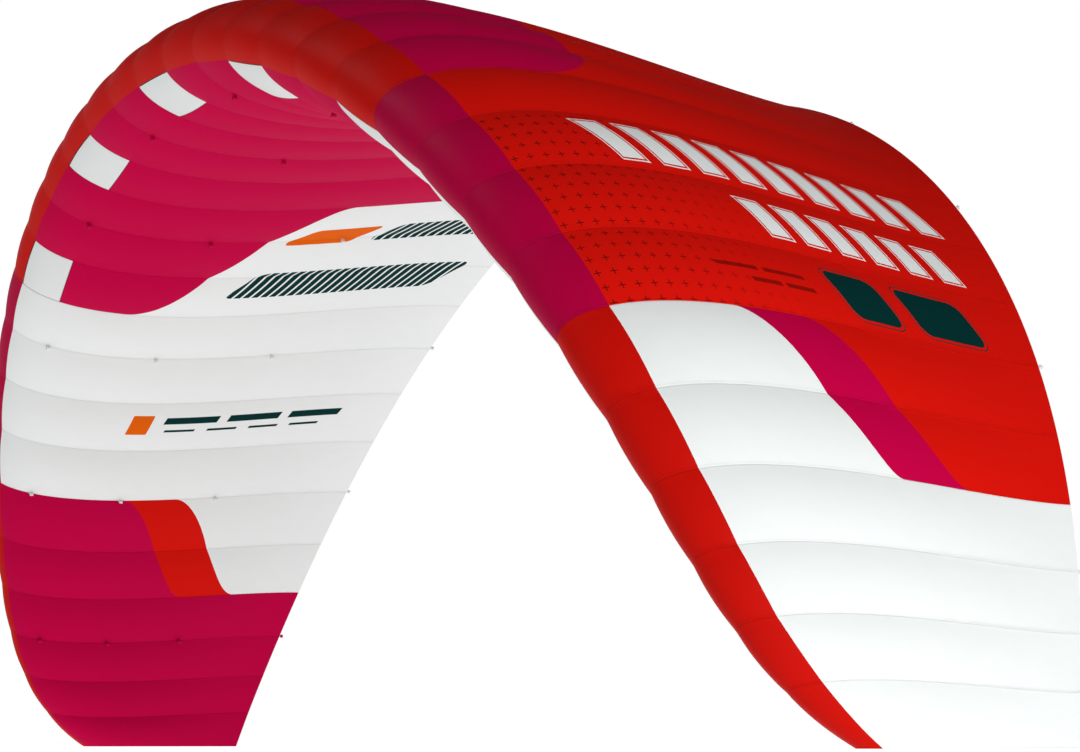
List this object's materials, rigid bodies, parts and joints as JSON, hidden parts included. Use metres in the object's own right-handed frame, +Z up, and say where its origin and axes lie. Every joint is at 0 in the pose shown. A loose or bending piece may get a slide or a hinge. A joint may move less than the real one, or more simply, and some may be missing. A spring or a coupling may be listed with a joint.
{
  "type": "kitesurf kite",
  "caption": "Closed-cell ram-air kite: swept arc canopy of sewn cells with nose rods, one-way intake valves, ribs, hem tape and bridle eyes, standing on its wingtips.",
  "frame": {"origin": "on the ground, at the centre of the footprint", "axes": "+X along the span towards the right tip, +Y along the chord towards the trailing edge, +Z up"},
  "size_m": [4.9442, 1.7304, 2.0633],
  "materials": {
    "upper_cloth": "coated ripstop, satin",
    "lower_cloth": "coated ripstop, satin",
    "nose_cloth": "coated ripstop, satin",
    "valve_cloth": "coated ripstop, satin",
    "rib_cloth": "hard-finished ripstop",
    "hem_tape": "woven polyester tape",
    "webbing": "woven polyester webbing",
    "nylon_rod": "extruded nylon"
  },
  "bodies": {
    "left_tip": {"left_tip_upper_skin": "upper_cloth", "left_tip_lower_skin": "lower_cloth", "left_tip_nose": "nose_cloth", "left_tip_trailing_edge_tape": "hem_tape", "left_tip_ribs": "rib_cloth", "left_tip_diagonal_ribs": "rib_cloth", "left_tip_nose_rods": "nylon_rod", "left_tip_bridle_loops": "webbing", "left_tip_brake_loops": "webbing", "left_tip_closure": "lower_cloth"},
    "left_mid": {"left_mid_upper_skin": "upper_cloth", "left_mid_lower_skin": "lower_cloth", "left_mid_nose": "nose_cloth", "left_mid_trailing_edge_tape": "hem_tape", "left_mid_ribs": "rib_cloth", "left_mid_diagonal_ribs": "rib_cloth", "left_mid_nose_rods": "nylon_rod", "left_mid_bridle_loops": "webbing", "left_mid_brake_loops": "webbing"},
    "centre": {"centre_upper_skin": "upper_cloth", "centre_lower_skin": "lower_cloth", "centre_nose": "nose_cloth", "centre_trailing_edge_tape": "hem_tape", "centre_ribs": "rib_cloth", "centre_diagonal_ribs": "rib_cloth", "centre_nose_rods": "nylon_rod", "centre_bridle_loops": "webbing", "centre_brake_loops": "webbing"},
    "right_mid": {"right_mid_upper_skin": "upper_cloth", "right_mid_lower_skin": "lower_cloth", "right_mid_nose": "nose_cloth", "right_mid_trailing_edge_tape": "hem_tape", "right_mid_ribs": "rib_cloth", "right_mid_diagonal_ribs": "rib_cloth", "right_mid_nose_rods": "nylon_rod", "right_mid_bridle_loops": "webbing", "right_mid_brake_loops": "webbing"},
    "right_tip": {"right_tip_upper_skin": "upper_cloth", "right_tip_lower_skin": "lower_cloth", "right_tip_nose": "nose_cloth", "right_tip_trailing_edge_tape": "hem_tape", "right_tip_ribs": "rib_cloth", "right_tip_diagonal_ribs": "rib_cloth", "right_tip_nose_rods": "nylon_rod", "right_tip_bridle_loops": "webbing", "right_tip_brake_loops": "webbing", "right_tip_closure": "lower_cloth"},
    "valve_1": {"intake_valve_1": "valve_cloth"},
    "valve_2": {"intake_valve_2": "valve_cloth"},
    "valve_3": {"intake_valve_3": "valve_cloth"},
    "valve_4": {"intake_valve_4": "valve_cloth"},
    "valve_5": {"intake_valve_5": "valve_cloth"}
  },
  "joints": [
    {"name": "left_mid_fold", "type": "hinge", "parent": "centre", "child": "left_mid", "pos_m": [-1.27472, 0.00054, 1.36858], "axis": [0, -1, 0], "range_deg": [0, 15], "stiffness_Nm_per_rad": 45},
    {"name": "right_mid_fold", "type": "hinge", "parent": "centre", "child": "right_mid", "pos_m": [1.27472, 0.00054, 1.36858], "axis": [0, 1, 0], "range_deg": [0, 15], "stiffness_Nm_per_rad": 45},
    {"name": "left_tip_fold", "type": "hinge", "parent": "left_mid", "child": "left_tip", "pos_m": [-1.8978, 0.00878, 0.82495], "axis": [0, -1, 0], "range_deg": [0, 15], "stiffness_Nm_per_rad": 45},
    {"name": "right_tip_fold", "type": "hinge", "parent": "right_mid", "child": "right_tip", "pos_m": [1.8978, 0.00878, 0.82495], "axis": [0, 1, 0], "range_deg": [0, 15], "stiffness_Nm_per_rad": 45},
    {"name": "valve_1_hinge", "type": "hinge", "parent": "centre", "child": "valve_1", "pos_m": [-1.23571, -0.779, 1.50832], "axis": [0.8671, 0, 0.4981], "range_deg": [0, 40]},
    {"name": "valve_2_hinge", "type": "hinge", "parent": "centre", "child": "valve_2", "pos_m": [-0.63947, -0.82645, 1.75417], "axis": [0.9662, 0, 0.2578], "range_deg": [0, 40]},
    {"name": "valve_3_hinge", "type": "hinge", "parent": "centre", "child": "valve_3", "pos_m": [0, -0.83834, 1.83801], "axis": [1, 0, 0], "range_deg": [0, 40]},
    {"name": "valve_4_hinge", "type": "hinge", "parent": "centre", "child": "valve_4", "pos_m": [0.63947, -0.82645, 1.75417], "axis": [0.9662, 0, -0.2578], "range_deg": [0, 40]},
    {"name": "valve_5_hinge", "type": "hinge", "parent": "centre", "child": "valve_5", "pos_m": [1.23571, -0.779, 1.50832], "axis": [0.8671, 0, -0.4981], "range_deg": [0, 40]}
  ]
}
